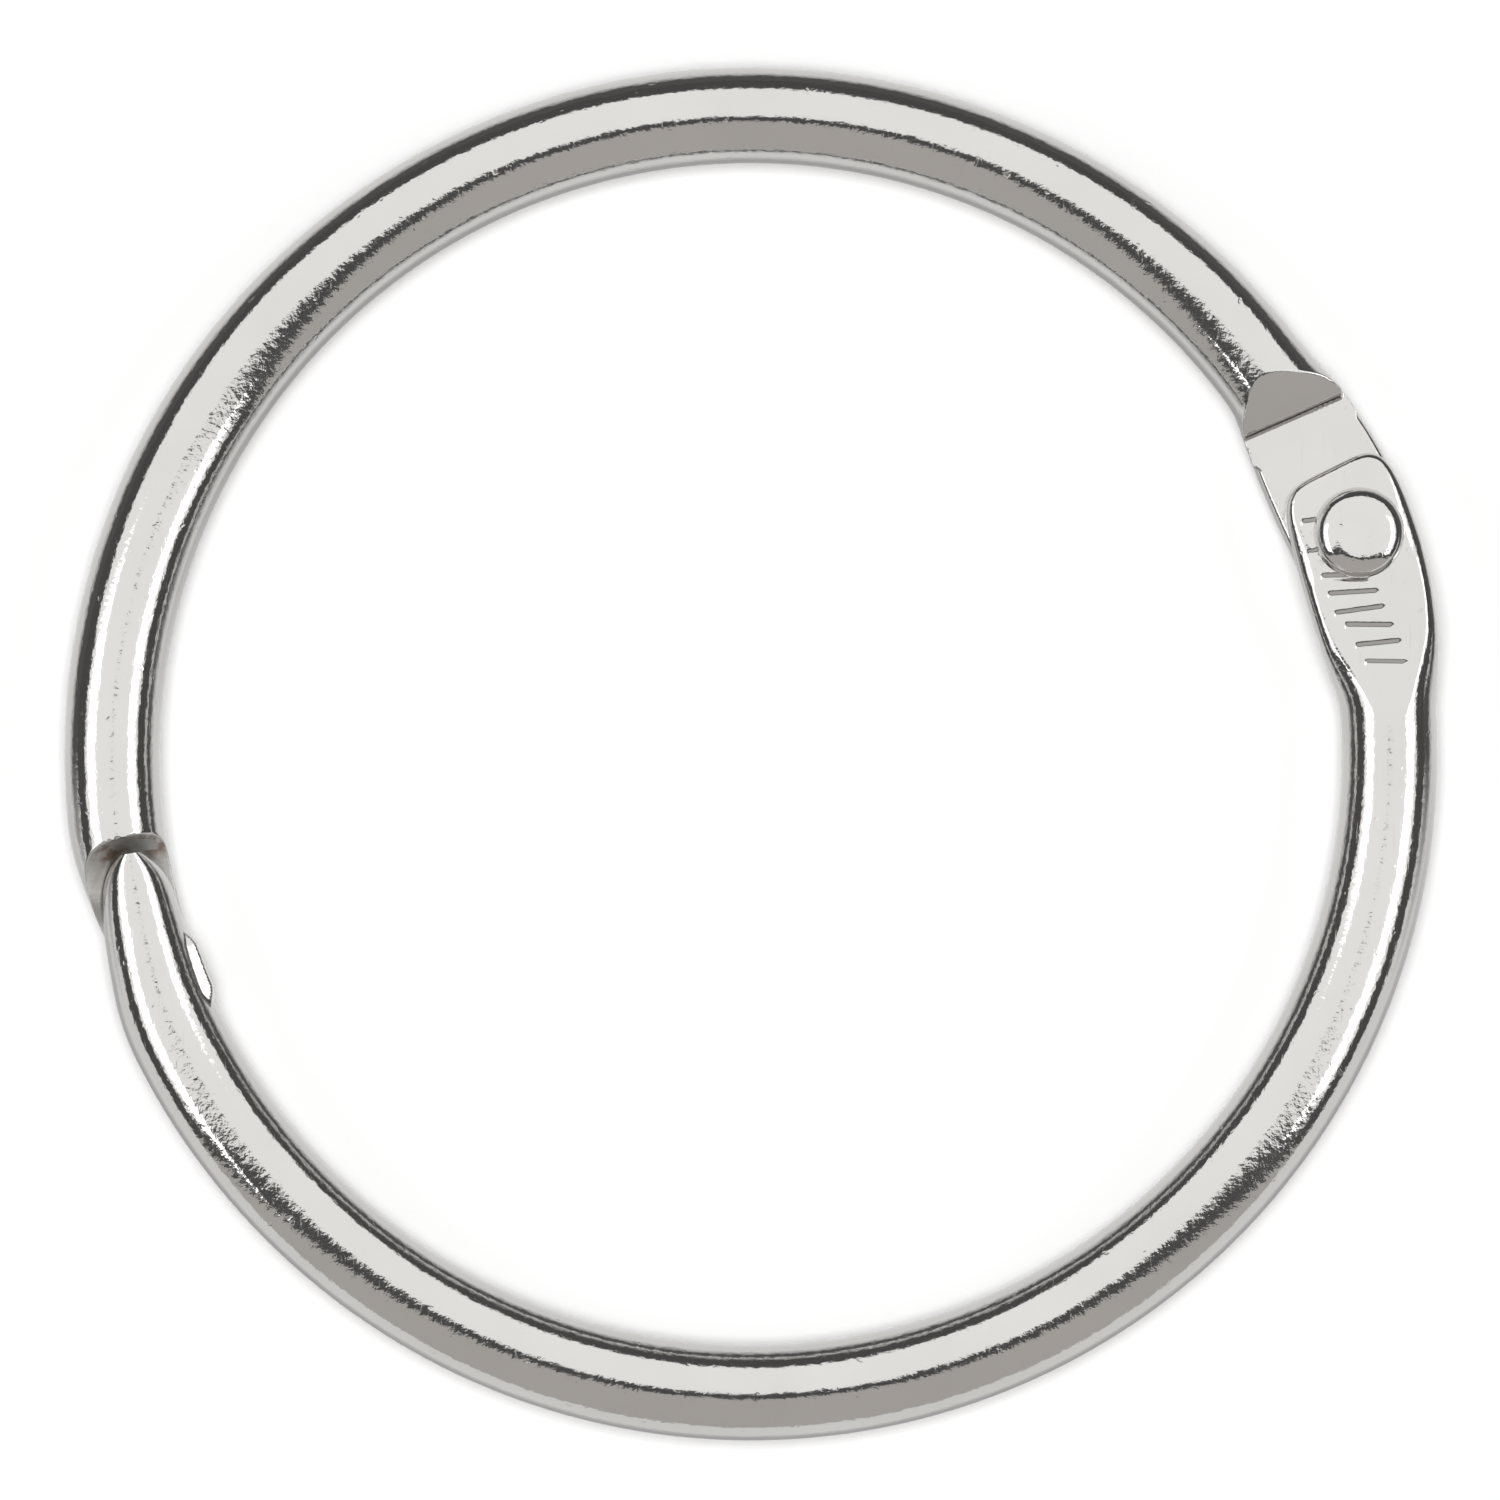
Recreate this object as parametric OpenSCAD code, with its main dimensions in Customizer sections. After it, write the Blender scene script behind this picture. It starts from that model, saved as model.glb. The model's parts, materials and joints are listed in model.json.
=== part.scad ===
// Hinged loose-leaf ring of round wire: two half rings, lapped and riveted at one
// end, with lapped snap tips at the other. Millimetres, +Z up.
// The origin is the centre of the closed ring, in the mid-plane of the wire.

/* [Ring] */
// Inside diameter of the closed ring
ring_inner_d = 50.8; // [46:0.1:64]
// Diameter of the wire
wire_d = 4.1; // [3.9:0.1:4.6]

/* [Hinge] */
// Where the hinge sits round the ring, counter-clockwise from +X
hinge_angle = 20; // [0:1:40]
// How far the rivet stands outside the centre line of the wire
hinge_out = 0.25; // [0:0.05:0.4]
// Widest part of the flattened ears
ear_w = 5.6; // [5.2:0.1:6]
// Distance from the lap to the outer face of an ear
ear_t = 1.75; // [1.5:0.05:1.9]
// How far an ear reaches past the rivet
ear_reach = 3.2; // [2.9:0.1:3.5]
// Rounding of the outer edges of an ear
ear_edge_r = 0.4; // [0.2:0.05:0.6]
// Where the lap ends and the ramp starts, in degrees of arc from the rivet
ramp_foot = 11.5; // [10:0.5:14]
// Gap between lapped faces
lap_gap = 0.06; // [0.04:0.01:0.2]

/* [Rivet] */
// Diameter of the shank
shank_d = 2.2; // [1.8:0.1:2.6]
// Diameter of the domed head
head_d = 3.9; // [3.4:0.1:4.4]
// Height of the head
head_h = 1.05; // [0.8:0.05:1.2]
// Flat on top of the head
head_flat_d = 2.1; // [1.6:0.1:2.4]
// Diameter of the peened tail
tail_d = 3.2; // [2.8:0.1:3.8]
// Height of the peened tail
tail_h = 0.5; // [0.3:0.05:0.7]
// Clearance of the shank in the swinging ear, on the radius
shank_play = 0.05; // [0.02:0.01:0.1]

/* [Closure] */
// Where the middle of the closure sits round the ring
seam_angle = 196; // [190:1:202]
// Arc from the middle of the closure to the end of a tip, in degrees
tip_lead = 6.9; // [6:0.1:7.4]
// Arc from the middle of the closure to the rim of a socket, in degrees
rim_lead = 8.4; // [8:0.1:9.5]
// Skew of the socket rim across the wire, in degrees
rim_skew = 8; // [0:1:10]
// Length of the slope from the socket rim down to the lap
socket_slope = 1.3; // [0.8:0.1:1.8]
// Radius of the nose of a tip, seen from above
nose_r = 1.41; // [1.2:0.01:1.6]

/* [Part] */
// Which sub-part is drawn

/* [Hidden] */
wire_r = wire_d / 2;
ring_r = ring_inner_d / 2 + wire_r;
hinge_r = ring_r + hinge_out;
lap_z = -lap_gap / 2;
fixed_arc = seam_angle - hinge_angle;
swing_arc = 360 - fixed_arc;
over = 1;
reach = 14;
ear_half_w = ear_w / 2;
// the two sides of an ear follow large circles that run out into the wire
ear_outer_r = 15.3;
ear_inner_r = 130;
// the wire starts inside the ear, clear of the rivet
wire_start = 7;
ramp_rise = wire_r + over;
face_run = 2.2;
face_end = ramp_foot + 2.3;
nose_in = 0.31;
tip_side_l = 1.35;
tip_splay = 3.2;
tip_taper_l = 7.7;
nickel = [0.78, 0.77, 0.74];
$fn = 120;
wire_facets = 40;

fixed_half_ring();
swing_half_ring();
hinge_rivet();

// a length of round wire bent to the ring, between two angles
module wire_arc(a0, a1)
    rotate([0, 0, a0])
        rotate_extrude(angle = a1 - a0)
            translate([ring_r, 0])
                circle(r = wire_r, $fn = wire_facets);

// draws a side profile (along the wire, up) and carries it across the wire
module across_wire(angle, skew = 0)
    rotate([0, 0, angle])
        translate([ring_r, 0, 0])
            rotate([0, 0, skew])
                rotate([90, 0, 90])
                    translate([0, 0, -ear_w])
                        linear_extrude(2 * ear_w)
                            children();

// a disc whose lower edge is rounded
module eased_disc(r, h)
    rotate_extrude()
        union() {
            translate([0, -h])
                square([r - ear_edge_r, h]);
            translate([0, -h + ear_edge_r])
                square([r, h - ear_edge_r]);
            translate([r - ear_edge_r, -h + ear_edge_r])
                circle(r = ear_edge_r, $fn = wire_facets);
        }

// what is left outside the ear on the side towards the ring's centre
module ear_inner_waste()
    rotate_extrude($fn = 720)
        difference() {
            translate([0, -ear_t - over])
                square([ear_inner_r + ear_edge_r, ear_t + 2 * over]);
            translate([ear_inner_r, -ear_t + ear_edge_r])
                square([ear_edge_r + over, ear_t + 2 * over]);
            translate([ear_inner_r + ear_edge_r, -ear_t + ear_edge_r])
                circle(r = ear_edge_r, $fn = wire_facets);
        }

// the flattened eye at the hinge end, lying below the lap
module ear()
    intersection() {
        difference() {
            translate([hinge_r + ear_half_w - ear_outer_r, 0, 0])
                eased_disc(ear_outer_r, ear_t);
            translate([hinge_r - ear_half_w - ear_inner_r, 0, 0])
                ear_inner_waste();
        }
        union() {
            translate([hinge_r, 0, 0])
                eased_disc(ear_reach, ear_t);
            translate([hinge_r - reach / 2, 0, -ear_t - over])
                cube([reach, reach, ear_t + 2 * over]);
        }
    }

// clears the room above an ear and slopes up to the full wire
module hinge_lap_cut()
    across_wire(ramp_foot)
        polygon([
            [-reach, lap_z],
            [0, lap_z],
            [ramp_rise, ramp_rise + lap_z],
            [-reach, ramp_rise + lap_z]
        ]);

// flattens the outer face of the ear and runs it out into the round wire
module outer_face_cut()
    across_wire(face_end)
        polygon([
            [-reach, -ear_t],
            [0, -ear_t],
            [2 * face_run, -2 * wire_r + ear_t],
            [2 * face_run, -wire_r - over],
            [-reach, -wire_r - over]
        ]);

// clears the socket in which the other half's tip lies
module socket_cut(arc)
    across_wire(arc - rim_lead, rim_skew)
        polygon([
            [-socket_slope / wire_r, wire_r + over],
            [socket_slope, lap_z],
            [reach, lap_z],
            [reach, wire_r + over]
        ]);

// slopes the end of a tip back to the lap, to clear the other socket
module tip_end_cut(arc)
    across_wire(arc + tip_lead)
        polygon([
            [socket_slope / wire_r, -wire_r - over],
            [-socket_slope * (1 + over / wire_r), over],
            [reach, over],
            [reach, -wire_r - over]
        ]);

// the outline of a tip seen from above, with its end on the tangent line
module tip_outline() {
    translate([-nose_in, -tip_side_l])
        circle(r = nose_r);
    polygon([
        [nose_r - nose_in, -tip_side_l],
        [-nose_r - nose_in, -tip_side_l],
        [-nose_r - nose_in - tip_splay, -reach],
        [nose_r - nose_in, -reach]
    ]);
}

// what is cut away on both sides of a tip, and past its end
module tip_waste(arc)
    rotate([0, 0, arc + tip_lead])
        translate([ring_r, 0, -wire_r - over])
            linear_extrude(wire_d + 2 * over)
                difference() {
                    translate([-ear_w, -tip_taper_l])
                        square([2 * ear_w, reach]);
                    tip_outline();
                }

// one half ring: hinge at angle 0, closure at angle arc, ear and tip below the lap
module half_ring(arc)
    difference() {
        union() {
            ear();
            wire_arc(wire_start, arc + 2 * tip_lead);
        }
        hinge_lap_cut();
        outer_face_cut();
        socket_cut(arc);
        tip_waste(arc);
        tip_end_cut(arc);
    }

// the bore through an ear
module rivet_bore(d)
    rotate([0, 0, hinge_angle])
        translate([hinge_r, 0, -ear_t - over])
            cylinder(d = d, h = 2 * (ear_t + over));

// upper half ring, its ear at the back
module fixed_half_ring()
    color(nickel)
        difference() {
            rotate([0, 0, hinge_angle])
                half_ring(fixed_arc);
            rivet_bore(shank_d);
        }

// lower half ring, the same form turned over, its ear at the front
module swing_half_ring()
    color(nickel)
        difference() {
            rotate([180, 0, hinge_angle])
                half_ring(swing_arc);
            rivet_bore(shank_d + 2 * shank_play);
        }

// domed rivet through both ears, peened over at the back
module hinge_rivet() {
    head_z = ear_t + lap_gap / 2;
    rim_h = 0.2;
    dome_drop = head_h - rim_h;
    flat_r = head_flat_d / 2;
    head_r = head_d / 2;
    // centre of the dome, below the rim of the head
    dome_c = (head_r * head_r - flat_r * flat_r - dome_drop * dome_drop) / (2 * dome_drop);
    dome_r = sqrt(head_r * head_r + dome_c * dome_c);
    color(nickel)
        rotate([0, 0, hinge_angle])
            translate([hinge_r, 0, 0]) {
                translate([0, 0, -ear_t])
                    cylinder(d = shank_d, h = ear_t + head_z);
                translate([0, 0, head_z])
                    intersection() {
                        translate([0, 0, rim_h - dome_c])
                            sphere(r = dome_r);
                        cylinder(d = head_d, h = head_h);
                    }
                translate([0, 0, -ear_t - tail_h])
                    cylinder(d1 = tail_d - tail_h, d2 = tail_d, h = tail_h);
            }
}
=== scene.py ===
"""Looks of a hinged loose-leaf ring: two plated half rings of round wire and their hinge rivet.
Shapes are worked out in millimetres, in a bench frame where the hinge is at angle 0, the wire runs
counter-clockwise to the closure, and the ear and the snap tip lie below the lap (z below 0)."""

import json
import math

import bmesh
import bpy
import numpy as np
from mathutils import Matrix, Vector


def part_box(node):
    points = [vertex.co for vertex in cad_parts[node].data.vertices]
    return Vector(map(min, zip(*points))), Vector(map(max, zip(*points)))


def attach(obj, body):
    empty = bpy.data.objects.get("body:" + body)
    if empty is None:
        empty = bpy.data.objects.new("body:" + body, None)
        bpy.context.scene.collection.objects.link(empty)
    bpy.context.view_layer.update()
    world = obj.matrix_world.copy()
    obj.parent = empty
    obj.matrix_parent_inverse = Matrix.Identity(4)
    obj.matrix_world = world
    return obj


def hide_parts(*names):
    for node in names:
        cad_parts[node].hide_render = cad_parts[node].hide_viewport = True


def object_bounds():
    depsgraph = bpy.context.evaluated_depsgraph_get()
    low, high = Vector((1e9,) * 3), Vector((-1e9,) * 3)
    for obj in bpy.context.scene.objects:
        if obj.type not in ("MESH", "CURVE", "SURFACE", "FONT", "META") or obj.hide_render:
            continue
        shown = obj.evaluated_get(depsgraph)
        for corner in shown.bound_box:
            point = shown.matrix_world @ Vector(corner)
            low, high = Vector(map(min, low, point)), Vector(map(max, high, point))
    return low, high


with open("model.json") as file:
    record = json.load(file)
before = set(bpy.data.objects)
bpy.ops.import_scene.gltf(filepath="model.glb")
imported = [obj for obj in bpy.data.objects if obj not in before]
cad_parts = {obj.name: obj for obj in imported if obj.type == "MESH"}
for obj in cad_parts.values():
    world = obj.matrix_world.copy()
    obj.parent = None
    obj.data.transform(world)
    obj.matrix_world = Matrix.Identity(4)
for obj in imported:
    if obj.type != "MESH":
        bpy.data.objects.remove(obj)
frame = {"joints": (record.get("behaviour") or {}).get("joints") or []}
cad_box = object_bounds()

MM = 0.001

# ---------------------------------------------------------------- sizes from the frame
hinge_m = Vector(frame["joints"][0]["pos_m"])
_, fixed_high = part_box("fixed_half_ring")
rivet_low, rivet_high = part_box("hinge_rivet")
HINGE_R = hinge_m.length / MM
HINGE_ANGLE = math.degrees(math.atan2(hinge_m.y, hinge_m.x))
WIRE_R = fixed_high.z / MM
RING_R = fixed_high.y / MM - WIRE_R
HEAD_R = (rivet_high.x - rivet_low.x) / MM / 2
HEAD_TOP = rivet_high.z / MM
TAIL_Z = rivet_low.z / MM

# ---------------------------------------------------------------- sizes of the forged ends
LAP_Z = -0.03  # the plane in which the halves lap, just short of the wire's mid-plane
BLEND = 0.04  # radius left on pressed edges
EAR_BLEND = 0.15
SIDE_BLEND = 0.25

EAR_T = 1.75  # from the mid-plane to the ear's outer face
EAR_OUT = 2.48  # ear's reach from the hinge, outwards
EAR_OUT_FALL = 0.0027  # how fast that reach falls off, per square degree
EAR_IN = 2.98  # ear's reach from the hinge, inwards
EAR_IN_FALL = 0.0055
EAR_IN_PEAK = 4.0  # angle at which the ear reaches furthest inwards
EAR_REACH = 3.05  # ear's reach past the hinge, along the ring
EAR_CORNER = 5  # power of the ear's rounded outline, 2 being an ellipse
EAR_EDGE = 1.05  # height of the ear's rounded edge
WAIST_Z = -0.89  # how far the metal is set down at the ear
WAIST_RUN = (9.0, 16.0)  # angles over which it comes back to the wire's own level
EDGE_RUN = (2.0, 10.0)  # angles over which the ear's edge grows into the wire's round
SQUARE_RUN = (5.5, 14.5)  # angles over which the ear's square edge turns round
FACE_END = 12.0  # where the ear's outer face starts to fade into the wire
FACE_FADE = 0.012

RAMP_FOOT = 11.6  # angle of the foot of the ramp behind the lap
RAMP_STEP = 0.7  # small step at the foot
RAMP_STEP_RUN = 0.22
RAMP_SLOPE = 0.62
RAMP_SKEW = -8.0
SWING_SLOPE = 0.250  # line from the hinge past which the other half swings
SWING_BLEND = 0.06
HINGE_END = 25.0  # angle past which the wire is untouched by the hinge's press

SEAM_ANGLE = 196.0  # where the closure sits on the closed ring
TIP_LEAD = 6.9  # how far the snap tip runs on past the seam
TIP_TAPER = 20.0  # length of the narrowed stretch, in degrees
TIP_OUT = 1.05  # tip's reach outwards, once clear of its rounded nose
TIP_OUT_NOSE = (1.15, 0.85)  # how much narrower it is at the nose, and over what length
TIP_OUT_SPREAD = (0.09, 0.008)  # how it widens back to the wire, straight and curved
TIP_IN = 2.06
TIP_IN_NOSE = (1.10, 1.0)
TIP_IN_SPREAD = 0.05
TIP_HOLLOW = 2.8  # length of the hollow under the tip
NOSE_Z = -1.35
RIM_LEAD = 8.4  # from the socket's rim to the seam
RIM_SKEW = 8.0
SCOOP_LENGTH = 2.45
SCOOP_SPREAD = 0.27
SCOOP_OVER = 0.35  # how far above the wire the scoop's curve ends
CROWN = 0.16
CROWN_IN = 0.5
CROWN_RUN = (0.4, 4.0)
NO_CUT = 3 * WIRE_R

# the lip that the press squeezes out beside the socket
FLANGE_LEAD = 5.0
FLANGE_ROOT = 1.78
FLANGE_REACH = 2.30
FLANGE_EDGE = 0.85
FLANGE_SLOPE = 0.46
FLANGE_START = (-2.4, -1.0)
FLANGE_STOP = (2.3, 0.9)

# short strokes pressed into the ear: angle, start and end across the wire, skew in degrees
PRESS_MARKS = (
    (-1.6, -1.9, -1.0, 14),
    (0.8, -2.0, -1.2, 6),
    (4.0, -1.9, 0.1, 15),
    (5.5, -1.8, 0.3, 11),
    (7.0, -1.7, 0.4, 5),
    (8.6, -1.4, 0.6, 12),
    (10.2, -1.1, 0.8, 4),
    (11.9, -0.8, 0.9, 9),
)
MARK_DEPTH = 0.06
MARK_WIDTH = (0.20, 0.02)
MARK_END = 0.12

SHANK_R = 1.1
BORE_R = 1.13
BORE_SNAP = 0.04  # how far past the bore a face may reach and still be cleared

RING_POINTS = 184  # points round one section
HALF_POINTS = 220  # points across one face of it, before they are spaced evenly


def smooth(x, a, b):
    t = np.clip((x - a) / (b - a), 0, 1)
    return t * t * (3 - 2 * t)


def soft_min(a, b, r):
    h = np.clip(0.5 + 0.5 * (b - a) / r, 0, 1)
    return b + (a - b) * h - r * h * (1 - h)


def soft_max(a, b, r):
    return -soft_min(-a, -b, r)


def along_and_out(theta, u, at, skew=0.0):
    """Distances along the wire and outwards from the wire's centre at angle at, in degrees."""
    d = np.radians(theta - at)
    x = (RING_R + u) * np.cos(d) - RING_R
    y = (RING_R + u) * np.sin(d)
    s = math.radians(skew)
    return y * math.cos(s) - x * math.sin(s), x * math.cos(s) + y * math.sin(s)


def ear_sides(theta):
    """How far the ear reaches outwards and inwards from the wire's centre line."""
    out = HINGE_R + EAR_OUT - EAR_OUT_FALL * theta**2 - RING_R
    inn = RING_R - HINGE_R + EAR_IN - EAR_IN_FALL * (theta - EAR_IN_PEAK) ** 2
    return soft_max(out, WIRE_R, EAR_BLEND), soft_max(inn, WIRE_R, EAR_BLEND)


def tip_sides(theta, arc):
    """How far the snap tip reaches outwards and inwards from the wire's centre line."""
    d = math.radians(arc + TIP_LEAD - theta)
    y = max(RING_R * math.sin(d), 0.0)
    if d > math.radians(TIP_TAPER):
        return 2 * WIRE_R, 2 * WIRE_R
    drop, length = TIP_OUT_NOSE
    straight, curved = TIP_OUT_SPREAD
    out = TIP_OUT - drop * math.exp(-y / length) + straight * y + curved * y * y
    drop, length = TIP_IN_NOSE
    inn = TIP_IN - drop * math.exp(-y / length) + TIP_IN_SPREAD * y
    return out, inn


def crown(theta, arc, v):
    """Height of the lap above its plane: the socket rises towards the ring's outside, the tip falls."""
    d = arc - theta
    rise = CROWN * np.maximum(v + CROWN_IN, 0) ** 2
    return rise * math.copysign(smooth(abs(d), *CROWN_RUN), d)


def press_marks(theta, u):
    """Depth of the row of short strokes pressed into the ear's face."""
    depth = 0 * u
    for at, start, end, skew in PRESS_MARKS:
        t, v = along_and_out(theta, u, at, skew)
        width = smooth(np.abs(t), *MARK_WIDTH)
        length = smooth(v, start - MARK_END, start) * smooth(v, end, end - MARK_END)
        depth = np.maximum(depth, width * length)
    return depth * MARK_DEPTH


def bar_outline(theta, arc):
    """The wire's section at one angle, widened to the ear and narrowed to the tip, before pressing."""
    waist = WAIST_Z * (1 - smooth(theta, *WAIST_RUN))
    out_e, in_e = ear_sides(theta)
    out_t, in_t = tip_sides(theta, arc)
    out = soft_min(out_e, out_t, SIDE_BLEND)
    inn = soft_min(in_e, in_t, SIDE_BLEND)
    mid, half = (out - inn) / 2, (out + inn) / 2
    past = max(-HINGE_R * math.radians(theta), 0) / EAR_REACH
    across = np.cos(np.linspace(0, math.pi, HALF_POINTS))
    u = mid + half * across * max(1 - past**EAR_CORNER, 0) ** (1 / EAR_CORNER)
    rho = np.abs(across)
    if past > 0:
        reach = np.abs(u - mid) ** EAR_CORNER / half**EAR_CORNER
        rho = np.minimum(np.power(reach + past**EAR_CORNER, 1 / EAR_CORNER), 1)
    # powers of the rounded outline below and above: 2 is the wire's own round
    p_low = 3 + 2 * min(past, 1) - smooth(theta, *SQUARE_RUN)
    p_top = 5 - 3 * smooth(theta, RAMP_FOOT - 1, RAMP_FOOT + 4)
    h_low = min(EAR_EDGE + (WIRE_R - EAR_EDGE) * smooth(theta, *EDGE_RUN), WIRE_R + waist)
    h_top = EAR_EDGE + (WIRE_R - waist - EAR_EDGE) * smooth(theta, RAMP_FOOT - 2.6, RAMP_FOOT - 1)
    base = waist
    if theta > arc - TIP_TAPER:
        h_low = min(h_low, half)
        base = h_low - WIRE_R
    low = base - h_low * np.power(np.maximum(1 - rho**p_low, 0), 1 / p_low)
    top = waist + h_top * np.power(np.maximum(1 - rho**p_top, 0), 1 / p_top)
    return u, low, top


def press_hinge_end(theta, u, low, top, marks):
    """Flattens the ear's two faces. Returns both faces and where each was pressed."""
    face = -EAR_T - FACE_FADE * max(theta - FACE_END, 0) ** 2
    flat_low = smooth(face - low, 0.0, 2 * BLEND)
    low = soft_max(low, face, BLEND)
    if marks:
        low = low + press_marks(theta, u)
    t, _ = along_and_out(theta, u, RAMP_FOOT, RAMP_SKEW)
    # the ramp's outer corner is cleared so that the halves can open fully
    x = (RING_R + u) * math.cos(math.radians(theta)) - HINGE_R
    y = (RING_R + u) * math.sin(math.radians(theta))
    clear = smooth(y * SWING_SLOPE - x, 0, SWING_BLEND)
    rise = RAMP_STEP * smooth(t, 0, RAMP_STEP_RUN) + RAMP_SLOPE * np.maximum(t, 0)
    cut = LAP_Z + clear * rise
    flat_top = smooth(top - cut, 0.0, 2 * BLEND)
    top = soft_min(top, cut, BLEND)
    return low, top, flat_low, flat_top


def shear_closure(theta, arc, u, top):
    """Scoops out the socket and hollows the matching underside of the snap tip."""
    lap = LAP_Z + crown(theta, arc, u)
    t, v = along_and_out(theta, u, arc - RIM_LEAD, RIM_SKEW)
    s = np.clip(1 - t / (SCOOP_LENGTH + SCOOP_SPREAD * v), 0, 1)
    scoop = lap + (WIRE_R + SCOOP_OVER) * (1 - np.sqrt(1 - s * s))
    scoop = np.where(t > 0, scoop, NO_CUT)
    sheared = smooth(top - scoop, 0.0, 0.06)
    top = soft_min(top, scoop, 0.05)
    t, _ = along_and_out(theta, u, arc + TIP_LEAD)
    e = np.clip(1 + t / TIP_HOLLOW, 0, 1)
    end = NOSE_Z + (lap - NOSE_Z) * np.sqrt(1 - e * e)
    end = np.where(t > -TIP_HOLLOW, end, NO_CUT)
    return soft_min(top, end, 0.12), sheared


def section(theta, arc, marks):
    """Outline of the half ring cut at one angle, evenly spaced: out, up, sheared, pressed."""
    u, low, top = bar_outline(theta, arc)
    sheared = flat_low = flat_top = 0 * u
    if theta < HINGE_END:
        low, top, flat_low, flat_top = press_hinge_end(theta, u, low, top, marks)
    if theta > arc - TIP_TAPER:
        top, sheared = shear_closure(theta, arc, u, top)
    top = np.maximum(top, low)
    out = np.concatenate([u, u[-2::-1]])
    up = np.concatenate([top, low[-2::-1]])
    sheared = np.concatenate([sheared, 0 * u[1:]])
    pressed = np.concatenate([flat_top, flat_low[-2::-1]])
    length = np.concatenate([[0], np.cumsum(np.hypot(np.diff(out), np.diff(up)))])
    even = np.linspace(0, length[-1], RING_POINTS, endpoint=False)
    out, up, sheared, pressed = (np.interp(even, length, line) for line in (out, up, sheared, pressed))
    if marks:
        out = press_flange(theta, arc, out, up)
    return out, up, sheared, pressed


def press_flange(theta, arc, u, z):
    """The lip of metal squeezed out of the socket's thin wall, towards the ring's centre."""
    y = math.radians(theta - (arc - FLANGE_LEAD)) * RING_R
    along = smooth(y, *FLANGE_START) * smooth(y, *FLANGE_STOP)
    dents = 1 + 0.01 * math.sin(5 * y) + 0.006 * np.sin(13 * y + 6 * z)
    reach = FLANGE_ROOT + (FLANGE_REACH - FLANGE_ROOT) * along * dents
    lip = reach - np.maximum(np.abs(z) - FLANGE_EDGE, 0) / FLANGE_SLOPE
    return np.where((u < -1) & (along > 0), soft_min(u, -lip, 0.05), u)


def stations(arc):
    """Angles of the sections, close together where the wire is forged."""
    start = -math.degrees(EAR_REACH / HINGE_R)
    end = arc + TIP_LEAD
    nose = np.arange(0, 1.0001, 1 / 14)
    parts = [
        start * (1 - 0.32 * (1 - np.cos(nose * math.pi / 2))),
        np.linspace(start * 0.68, RAMP_FOOT - 1, 94)[1:],
        np.linspace(RAMP_FOOT - 1, RAMP_FOOT + 1, 34)[1:],
        np.linspace(RAMP_FOOT + 1, 17.5, 32)[1:],
        np.linspace(17.5, 21, 12)[1:],
        np.linspace(21, arc - 20, int(arc - 41))[1:],
        np.linspace(arc - 20, arc - 10, 34)[1:],
        np.linspace(arc - 10, end - 0.6, 120)[1:],
        np.linspace(end - 0.6, end - 0.002, 12)[1:],
    ]
    return np.concatenate(parts)


def half_ring(name, arc, place, marks=False):
    """Rolls a fine sheet into wire, section by section, with its forged ends, and puts it in place."""
    angles = stations(arc)
    outlines = [section(a, arc, marks) for a in angles]
    steps = len(angles) - 1
    bm = bmesh.new()
    bmesh.ops.create_grid(bm, x_segments=steps, y_segments=RING_POINTS, size=0.5)
    sheared = bm.verts.layers.float.new("sheared")
    along = bm.verts.layers.float.new("along")
    flat = bm.verts.layers.float.new("pressed")
    for v in bm.verts:
        i = round((v.co.x + 0.5) * steps)
        j = round((v.co.y + 0.5) * RING_POINTS) % RING_POINTS
        u, z, mask, pressed = outlines[i]
        a = math.radians(angles[i])
        v.co = ((RING_R + u[j]) * math.cos(a), (RING_R + u[j]) * math.sin(a), z[j])
        v[sheared] = mask[j]
        v[flat] = pressed[j]
        v[along] = (angles[i] - arc) * math.radians(1) * RING_R
    bmesh.ops.remove_doubles(bm, verts=bm.verts, dist=0.0008)
    bmesh.ops.holes_fill(bm, edges=[e for e in bm.edges if e.is_boundary], sides=0)
    bore(bm)
    bmesh.ops.recalc_face_normals(bm, faces=bm.faces)
    bmesh.ops.transform(bm, matrix=Matrix.Scale(MM, 4) @ place, verts=bm.verts)
    return finish_piece(bm, name)


def bore(bm):
    """Opens the rivet's hole through the ear: clears both faces round the hinge and joins the edges."""
    hub = Vector((HINGE_R, 0, 0))

    def reach(v):
        return math.hypot(v.co.x - hub.x, v.co.y - hub.y)

    patch = [f for f in bm.faces if all(reach(v) < BORE_R + BORE_SNAP for v in f.verts)]
    bmesh.ops.delete(bm, geom=patch, context="FACES")
    edges = [e for e in bm.edges if e.is_boundary]
    rim = {v for e in edges for v in e.verts}
    for v in rim:
        share = BORE_R / reach(v)
        v.co.x = hub.x + (v.co.x - hub.x) * share
        v.co.y = hub.y + v.co.y * share
    bmesh.ops.bridge_loops(bm, edges=edges)


def finish_piece(bm, name, sharp=60):
    for f in bm.faces:
        f.smooth = True
    for e in bm.edges:
        if len(e.link_faces) == 2 and e.calc_face_angle(0) > math.radians(sharp):
            e.smooth = False
    mesh = bpy.data.meshes.new(name)
    bm.to_mesh(mesh)
    bm.free()
    piece = bpy.data.objects.new(name, mesh)
    bpy.context.scene.collection.objects.link(piece)
    return piece


def arc_points(cx, cy, r, a0, a1, n):
    return [(cx + r * math.cos(a), cy + r * math.sin(a)) for a in np.radians(np.linspace(a0, a1, n))]


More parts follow.
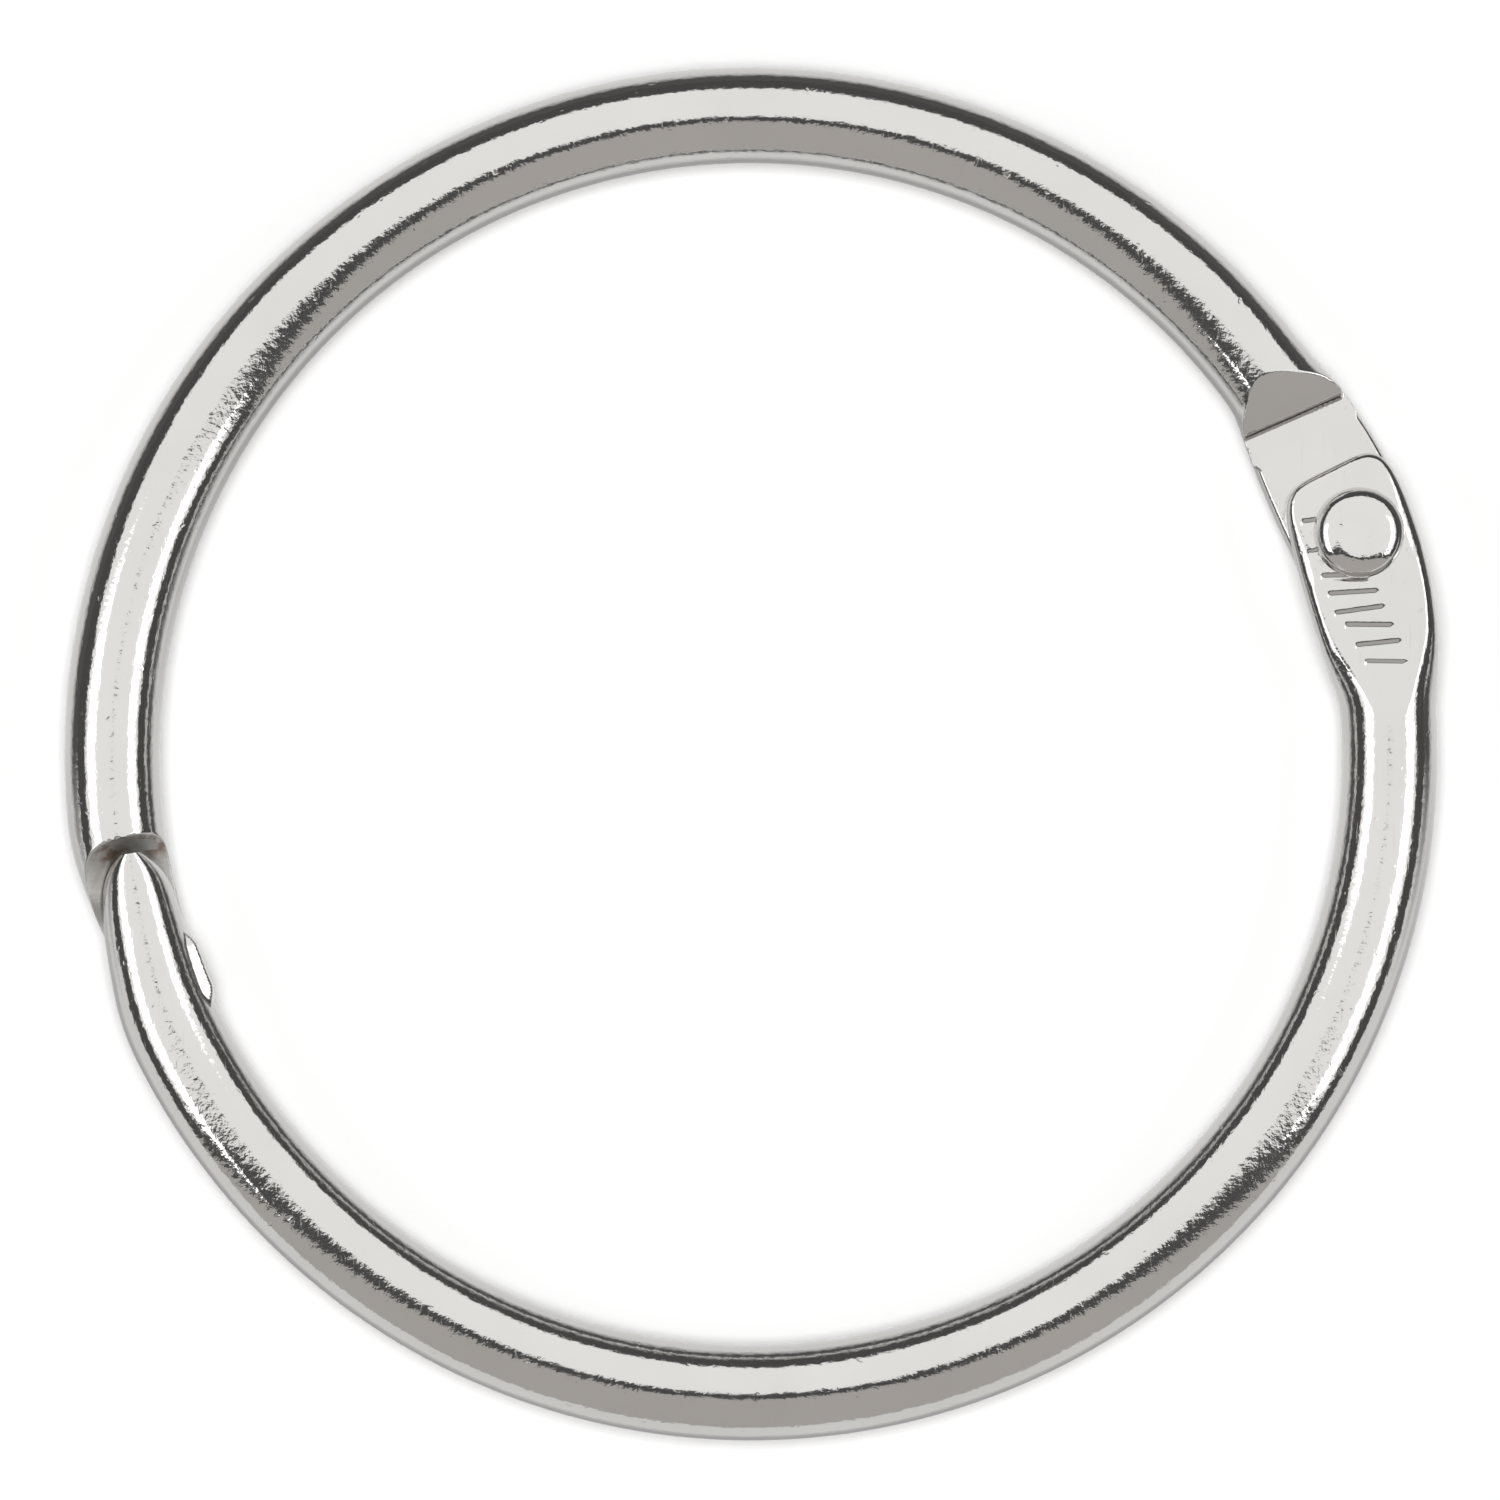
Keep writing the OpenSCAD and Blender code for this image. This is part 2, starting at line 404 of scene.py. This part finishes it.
def rivet():
    """The headed rivet: a profile from the middle of the head to the middle of the tail, spun round."""
    gap = 0.004
    seat = EAR_T - LAP_Z
    flat_r = 1.0
    rim = 0.24
    rise = HEAD_TOP - seat - rim
    prof = [(0, HEAD_TOP - 0.02), (flat_r * 0.55, HEAD_TOP - 0.01), (flat_r * 0.85, HEAD_TOP)]
    # shoulder: rolls off the flat and steepens down to the rim
    for s in np.linspace(0.06, 1, 15):
        r = flat_r + (HEAD_R - 0.03 - flat_r) * math.sin(s * math.pi / 2)
        z = seat + rim + rise * math.cos(s * math.pi / 2) ** 0.95
        prof.append((r, z))
    prof += arc_points(HEAD_R - 0.1, seat + 0.12, 0.1, 20, -80, 5)
    prof += [(SHANK_R, seat + gap), (SHANK_R, -EAR_T - gap)]
    tail_r = 1.6
    tail_round = 0.35
    prof += [(tail_r - 0.12, -EAR_T - gap), (tail_r, -EAR_T - 0.1)]
    prof += arc_points(tail_r - tail_round, TAIL_Z + tail_round, tail_round, 0, -90, 6)
    prof += [(0.5, TAIL_Z + 0.03), (0, TAIL_Z + 0.05)]
    bm = bmesh.new()
    verts = [bm.verts.new((r, 0, z)) for r, z in prof]
    edges = [bm.edges.new((a, b)) for a, b in zip(verts, verts[1:])]
    bmesh.ops.spin(
        bm,
        geom=verts + edges,
        cent=(0, 0, 0),
        axis=(0, 0, 1),
        angle=2 * math.pi,
        steps=112,
        use_merge=True,
        use_duplicate=False,
    )
    bmesh.ops.remove_doubles(bm, verts=bm.verts, dist=0.0005)
    bmesh.ops.recalc_face_normals(bm, faces=bm.faces)
    place = Matrix.Rotation(math.radians(HINGE_ANGLE), 4, "Z") @ Matrix.Translation((HINGE_R, 0, 0))
    bmesh.ops.transform(bm, matrix=Matrix.Scale(MM, 4) @ place, verts=bm.verts)
    return finish_piece(bm, "rivet", 50)


# ---------------------------------------------------------------- materials
PLATE_DARK = (0.69, 0.675, 0.653)
PLATE_PALE = (0.72, 0.704, 0.684)
PLATE_ROUGH = 0.085
WEAR_ROUGH = 0.12
DULL_DARK = (0.64, 0.63, 0.61)
DULL_PALE = (0.78, 0.77, 0.75)
SHEAR_ROUGH = 0.40
# brown of the specks on the sheared face near the socket's rim
SPECK_BROWN = (0.34, 0.25, 0.19)
SPECKS_AT = 3.5  # millimetres before the seam
PRESSED_CALM = 0.72  # share of the peel that pressing irons out
PEEL_DEPTH = 0.000012


def new_group(name, inputs, outputs):
    g = bpy.data.node_groups.new(name, "ShaderNodeTree")
    for label, kind, value in inputs:
        s = g.interface.new_socket(label, in_out="INPUT", socket_type=kind)
        if value is not None:
            s.default_value = value
    for label, kind in outputs:
        g.interface.new_socket(label, in_out="OUTPUT", socket_type=kind)
    return g, g.nodes.new("NodeGroupInput"), g.nodes.new("NodeGroupOutput")


def math_node(tree, op, a, b=None, c=None, clamp=False):
    n = tree.nodes.new("ShaderNodeMath")
    n.operation = op
    n.use_clamp = clamp
    for i, v in enumerate((a, b, c)):
        if v is None:
            continue
        if isinstance(v, (int, float)):
            n.inputs[i].default_value = v
        else:
            tree.links.new(v, n.inputs[i])
    return n.outputs[0]


def noise(tree, where, scale, detail=2.0, rough=0.5, distortion=0.0):
    n = tree.nodes.new("ShaderNodeTexNoise")
    tree.links.new(where, n.inputs["Vector"])
    n.inputs["Scale"].default_value = scale
    n.inputs["Detail"].default_value = detail
    n.inputs["Roughness"].default_value = rough
    n.inputs["Distortion"].default_value = distortion
    return n.outputs["Fac"]


def ramp(tree, value, stops):
    n = tree.nodes.new("ShaderNodeValToRGB")
    tree.links.new(value, n.inputs["Fac"])
    el = n.color_ramp.elements
    while len(el) < len(stops):
        el.new(0.5)
    for e, (pos, c) in zip(el, stops):
        e.position = pos
        e.color = (*c, 1) if isinstance(c, tuple) else (c, c, c, 1)
    return n.outputs["Color"]


def plate_texture_group():
    """Height of the plate's orange peel, pits and handling scratches, and a wear mask."""
    g, gi, go = new_group(
        "plate texture",
        [("Vector", "NodeSocketVector", None), ("Peel", "NodeSocketFloat", 1.0)],
        [("Height", "NodeSocketFloat"), ("Wear", "NodeSocketFloat")],
    )
    where = gi.outputs["Vector"]
    peel = noise(g, where, 3200, 2, 0.55)
    broad = noise(g, where, 700, 2, 0.5)
    fine = noise(g, where, 11000, 2, 0.6)
    h = math_node(g, "MULTIPLY", peel, 1.0)
    h = math_node(g, "MULTIPLY_ADD", broad, 1.3, h)
    h = math_node(g, "MULTIPLY_ADD", fine, 0.12, h)
    h = math_node(g, "MULTIPLY", h, gi.outputs["Peel"])
    # scratches: noise stretched along two directions
    scratch = None
    for turn, seed in ((0.6, 3.0), (2.1, 7.0)):
        m = g.nodes.new("ShaderNodeMapping")
        m.inputs["Rotation"].default_value = (0.3, 0.2, turn)
        m.inputs["Location"].default_value = (seed, seed, 0)
        m.inputs["Scale"].default_value = (1.0, 0.035, 1.0)
        g.links.new(where, m.inputs["Vector"])
        line = noise(g, m.outputs[0], 9000, 1, 0.4)
        line = ramp(g, line, [(0.70, 0.0), (0.78, 1.0)])
        scratch = line if scratch is None else math_node(g, "MAXIMUM", scratch, line)
    pits = noise(g, where, 2600, 0, 0.5)
    pits = ramp(g, pits, [(0.78, 0.0), (0.84, 1.0)])
    h = math_node(g, "MULTIPLY_ADD", scratch, -0.10, h)
    h = math_node(g, "MULTIPLY_ADD", pits, -0.5, h)
    g.links.new(h, go.inputs["Height"])
    wear = math_node(g, "MAXIMUM", scratch, pits)
    g.links.new(wear, go.inputs["Wear"])
    return g


def nickel(name, texture, peel=1.0, with_shear=True):
    mat = bpy.data.materials.new(name)
    mat.use_nodes = True
    t = mat.node_tree
    bsdf = t.nodes["Principled BSDF"]
    bsdf.inputs["Metallic"].default_value = 1.0
    coords = t.nodes.new("ShaderNodeTexCoord").outputs["Object"]
    plate = t.nodes.new("ShaderNodeGroup")
    plate.node_tree = texture
    t.links.new(coords, plate.inputs["Vector"])
    plate.inputs["Peel"].default_value = peel
    tint = noise(t, coords, 260, 3, 0.5)
    colour = ramp(t, tint, [(0.3, PLATE_DARK), (0.7, PLATE_PALE)])
    rough = math_node(t, "MULTIPLY_ADD", plate.outputs["Wear"], WEAR_ROUGH, PLATE_ROUGH)
    height = plate.outputs["Height"]
    if with_shear:
        attr = t.nodes.new("ShaderNodeAttribute")
        attr.attribute_name = "sheared"
        mask = attr.outputs["Fac"]
        grain = t.nodes.new("ShaderNodeAttribute")
        grain.attribute_name = "along"
        lines = t.nodes.new("ShaderNodeTexNoise")
        lines.noise_dimensions = "1D"
        t.links.new(grain.outputs["Fac"], lines.inputs["W"])
        lines.inputs["Scale"].default_value = 14
        lines.inputs["Detail"].default_value = 3
        dull = ramp(t, noise(t, coords, 1500, 3, 0.6), [(0.3, DULL_DARK), (0.7, DULL_PALE)])
        # brown specks on the bare sheared face, in a narrow band near the socket's rim
        near = math_node(t, "ABSOLUTE", math_node(t, "ADD", grain.outputs["Fac"], SPECKS_AT))
        near = math_node(t, "MULTIPLY_ADD", near, -2.0, 1.5, clamp=True)
        spots = ramp(t, noise(t, coords, 1400, 3, 0.6), [(0.46, 0.0), (0.60, 0.8)])
        specks = t.nodes.new("ShaderNodeMix")
        specks.data_type = "RGBA"
        t.links.new(math_node(t, "MULTIPLY", near, spots), specks.inputs["Factor"])
        t.links.new(dull, specks.inputs[6])
        specks.inputs[7].default_value = (*SPECK_BROWN, 1)
        dull = specks.outputs[2]
        mix = t.nodes.new("ShaderNodeMix")
        mix.data_type = "RGBA"
        t.links.new(mask, mix.inputs["Factor"])
        t.links.new(colour, mix.inputs[6])
        t.links.new(dull, mix.inputs[7])
        colour = mix.outputs[2]
        rough = math_node(t, "MULTIPLY_ADD", mask, SHEAR_ROUGH, rough)
        shear_h = math_node(t, "MULTIPLY", lines.outputs["Fac"], mask)
        pressed = t.nodes.new("ShaderNodeAttribute")
        pressed.attribute_name = "pressed"
        calm = math_node(t, "MULTIPLY_ADD", pressed.outputs["Fac"], -PRESSED_CALM, 1.0)
        height = math_node(t, "MULTIPLY", height, calm)
        height = math_node(t, "MULTIPLY_ADD", shear_h, 0.8, height)
    bump = t.nodes.new("ShaderNodeBump")
    bump.inputs["Strength"].default_value = 1.0
    bump.inputs["Distance"].default_value = PEEL_DEPTH
    t.links.new(height, bump.inputs["Height"])
    t.links.new(bump.outputs["Normal"], bsdf.inputs["Normal"])
    t.links.new(colour, bsdf.inputs["Base Color"])
    t.links.new(rough, bsdf.inputs["Roughness"])
    return mat


# ---------------------------------------------------------------- the pieces
FIXED_ARC = SEAM_ANGLE - HINGE_ANGLE
turn_to_hinge = Matrix.Rotation(math.radians(HINGE_ANGLE), 4, "Z")
turned_over = turn_to_hinge @ Matrix.Rotation(math.pi, 4, "X")

plate = plate_texture_group()
wire_plate = nickel("nickel plate on wire", plate)
rivet_plate = nickel("nickel plate on rivet", plate, peel=0.8, with_shear=False)

upper = half_ring("upper_half_ring", FIXED_ARC, turn_to_hinge)
lower = half_ring("lower_half_ring", 360 - FIXED_ARC, turned_over, marks=True)
pin = rivet()

for piece, body, node, slot, mat in (
    (upper, "fixed_half", "fixed_half_ring", "plated_wire", wire_plate),
    (lower, "swing_half", "swing_half_ring", "plated_wire", wire_plate),
    (pin, "fixed_half", "hinge_rivet", "plated_rivet", rivet_plate),
):
    piece.data.materials.append(mat)
    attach(piece, body)
    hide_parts(node)


# ---------------------------------------------------------------- studio
PANEL_H = 0.6
# corners of the overhead cards, as shares of their height
OVERHEAD = [(0, -0.035), (2.25, -1.45), (2.25, 2.25), (-2.25, 2.25), (-2.25, -1.45)]
GREY_WEDGE = [(0, -0.24), (-120, -84), (-120, -160), (120, -160), (120, -84)]
KEY = [(-0.20, -0.16), (0.16, -0.16), (0.16, 0.24), (-0.20, 0.24)]
LEFT_BOX = [(-0.85, -0.75), (-0.85, 0.3), (-1.6, 0.3), (-1.6, -1.0)]
RIGHT_BOX = [(0.85, -0.6), (0.85, 0.45), (1.6, 0.6), (1.6, -0.9)]
WARM_GREY = (1, 0.965, 0.935)
# painted reflections: brightness of the sheet as the metal sees it; grey close by is painted shade, the
# dark further off is a painted dark room
PAINTED_SHADE_NEAR_RING = 0.44
SHEET_PALE = 0.80
PAINTED_DARK_FAR_OFF = 0.70
ROOM_DARK = (0.08, 0.08, 0.08, 1)
FLOOR_HALF = 1.5


def emitter(name, strength, colour=(1, 1, 1)):
    mat = bpy.data.materials.new(name)
    mat.use_nodes = True
    t = mat.node_tree
    t.nodes.remove(t.nodes["Principled BSDF"])
    e = t.nodes.new("ShaderNodeEmission")
    e.inputs["Strength"].default_value = strength
    e.inputs["Color"].default_value = (*colour, 1)
    t.links.new(e.outputs[0], t.nodes["Material Output"].inputs["Surface"])
    return mat


def card(name, corners, strength, height=PANEL_H, colour=(1, 1, 1)):
    """A flat panel overhead, facing down. Corners are given as shares of its height."""
    bm = bmesh.new()
    verts = [bm.verts.new((x * height, y * height, height)) for x, y in corners]
    bmesh.ops.contextual_create(bm, geom=verts)
    mesh = bpy.data.meshes.new(name)
    bm.to_mesh(mesh)
    bm.free()
    o = bpy.data.objects.new(name, mesh)
    o.data.materials.append(emitter(name, strength, colour))
    bpy.context.scene.collection.objects.link(o)
    o.visible_camera = False
    return o


def paper(t):
    """White sheet, with painted reflections: glossy rays see a glow graded round the ring in place of
    the lit sheet.
    The wire's flanks that face +Y see it pale and then painted dark further off; those that face -Y see
    painted shade, grey close by, and pale further off."""
    b = t.nodes["Principled BSDF"]
    b.inputs["Base Color"].default_value = (0.9, 0.9, 0.9, 1)
    b.inputs["Emission Color"].default_value = (1, 1, 1, 1)
    b.inputs["Emission Strength"].default_value = 0.04
    b.inputs["Roughness"].default_value = 0.9
    b.inputs["Specular IOR Level"].default_value = 0.0
    coords = t.nodes.new("ShaderNodeTexCoord").outputs["Object"]
    axes = t.nodes.new("ShaderNodeSeparateXYZ")
    t.links.new(coords, axes.inputs[0])
    x, y = axes.outputs[0], axes.outputs[1]
    squares = math_node(t, "ADD", math_node(t, "MULTIPLY", x, x), math_node(t, "MULTIPLY", y, y))
    off = math_node(t, "SUBTRACT", math_node(t, "SQRT", squares), RING_R * MM)
    inside = math_node(t, "LESS_THAN", off, 0)
    sign = math_node(t, "MULTIPLY_ADD", inside, -2.0, 1.0)
    side = math_node(t, "MULTIPLY_ADD", math_node(t, "MULTIPLY", y, sign), 70.0, 1.0, clamp=True)
    distance = math_node(t, "ABSOLUTE", off)
    far = math_node(t, "MULTIPLY_ADD", distance, 160.0, -1.1, clamp=True)
    dark = math_node(t, "MULTIPLY", far, side)
    beyond = math_node(t, "MULTIPLY_ADD", distance, 350.0, -1.4, clamp=True)
    pale = math_node(t, "MAXIMUM", side, beyond)
    pale = math_node(t, "MULTIPLY_ADD", pale, SHEET_PALE - PAINTED_SHADE_NEAR_RING, PAINTED_SHADE_NEAR_RING)
    # painted reflection: glossy rays see this graded glow instead of the lit sheet, with painted shade
    # beside the ring and painted dark further off
    painted_reflection = t.nodes.new("ShaderNodeEmission")
    t.links.new(math_node(t, "MULTIPLY_ADD", dark, -PAINTED_DARK_FAR_OFF, pale), painted_reflection.inputs["Strength"])
    path = t.nodes.new("ShaderNodeLightPath")
    mix = t.nodes.new("ShaderNodeMixShader")
    t.links.new(path.outputs["Is Glossy Ray"], mix.inputs[0])
    t.links.new(b.outputs[0], mix.inputs[1])
    t.links.new(painted_reflection.outputs[0], mix.inputs[2])
    t.links.new(mix.outputs[0], t.nodes["Material Output"].inputs["Surface"])


def studio():
    scene = bpy.context.scene
    overhead = card("overhead_panel", OVERHEAD, 1.05)
    overhead.visible_diffuse = False
    card("grey_panel", GREY_WEDGE, 0.49, colour=WARM_GREY)
    key = card("key_card", KEY, 17.5, PANEL_H * 0.94)
    key.visible_glossy = False
    card("left_softbox", LEFT_BOX, 2.6, PANEL_H * 0.97)
    card("right_softbox", RIGHT_BOX, 2.6, PANEL_H * 0.97)
    world = bpy.data.worlds.new("studio")
    scene.world = world
    world.use_nodes = True
    t = world.node_tree
    bg = t.nodes["Background"]
    path = t.nodes.new("ShaderNodeLightPath")
    mix = t.nodes.new("ShaderNodeMix")
    mix.data_type = "RGBA"
    t.links.new(path.outputs["Is Camera Ray"], mix.inputs["Factor"])
    mix.inputs[6].default_value = ROOM_DARK
    mix.inputs[7].default_value = (1, 1, 1, 1)
    t.links.new(mix.outputs[2], bg.inputs["Color"])
    # floor
    bm = bmesh.new()
    bmesh.ops.create_grid(bm, x_segments=1, y_segments=1, size=FLOOR_HALF)
    bmesh.ops.translate(bm, vec=(0, 0, cad_box[0][2]), verts=bm.verts)
    mesh = bpy.data.meshes.new("floor")
    bm.to_mesh(mesh)
    bm.free()
    floor = bpy.data.objects.new("floor", mesh)
    scene.collection.objects.link(floor)
    mat = bpy.data.materials.new("white sheet with painted reflections")
    mat.use_nodes = True
    paper(mat.node_tree)
    floor.data.materials.append(mat)
    scene.view_settings.view_transform = "Standard"


def camera():
    """Looks straight down on the ring's front, from far enough to show hardly any of its flanks."""
    view_width = 0.06447
    distance = 0.45
    centre_x, centre_y = -0.00004, 0.00017
    cam = bpy.data.cameras.new("camera")
    cam.sensor_width = 36
    cam.lens = cam.sensor_width * distance / view_width
    o = bpy.data.objects.new("camera", cam)
    o.location = (centre_x, centre_y, distance)
    bpy.context.scene.collection.objects.link(o)
    bpy.context.scene.camera = o


studio()
camera()
